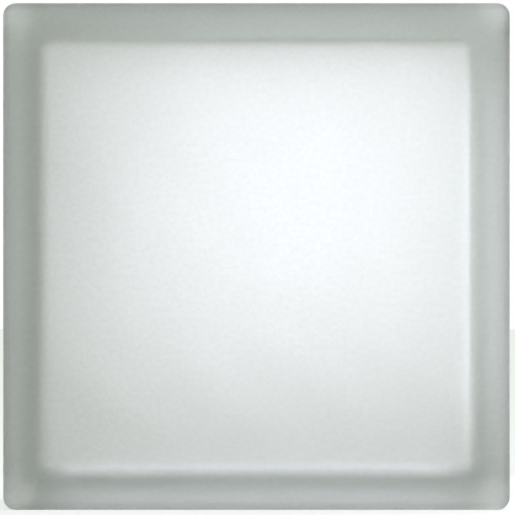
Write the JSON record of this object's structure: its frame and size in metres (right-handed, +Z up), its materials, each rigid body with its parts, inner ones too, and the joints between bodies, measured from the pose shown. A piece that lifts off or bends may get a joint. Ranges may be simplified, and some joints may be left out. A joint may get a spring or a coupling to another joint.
{
  "type": "glass block",
  "caption": "Square hollow block of pressed glass for walls and windows, satin and plain, with a mortar recess round its edges and a melted seam.",
  "frame": {"origin": "on the floor under the middle of the block, which stands on one edge as it is laid in a wall", "axes": "+Z up, +Y from the front face to the back face, +X to the right as seen from the front"},
  "size_m": [0.19, 0.08, 0.19],
  "materials": {
    "satin_glass": "satin"
  },
  "bodies": {
    "root": {"glass_block": "satin_glass"}
  },
  "joints": []
}
